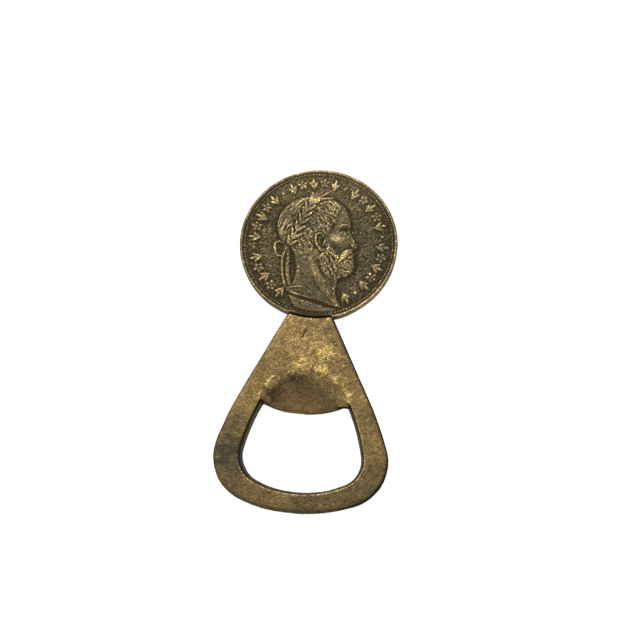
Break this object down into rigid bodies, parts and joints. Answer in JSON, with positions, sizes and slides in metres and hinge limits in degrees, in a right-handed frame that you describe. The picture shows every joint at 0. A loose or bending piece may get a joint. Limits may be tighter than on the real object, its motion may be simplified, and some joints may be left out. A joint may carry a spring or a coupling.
{
  "type": "bottle opener",
  "caption": "Cast brass bottle opener: a flat neck widening into a loop with a scooped prying lip, and a coin medallion brazed on the neck's end.",
  "frame": {"origin": "middle of the overall length and width, on the flat back face that it rests on", "axes": "+Y along the neck towards the medallion, +Z out of the face, +X towards where the head on the medallion looks"},
  "size_m": [0.042, 0.0872, 0.0061],
  "materials": {
    "cast_brass": "sand-cast brass with an olive-brown patina, worn to gold on its ridges",
    "coin_brass": "struck-look cast brass relief, dark green-black in the field and gold on the raised parts",
    "braze": "dull oxidised braze"
  },
  "bodies": {
    "root": {"opener_frame": "cast_brass", "coin_medallion": "coin_brass", "braze_joint": "braze"}
  },
  "joints": []
}
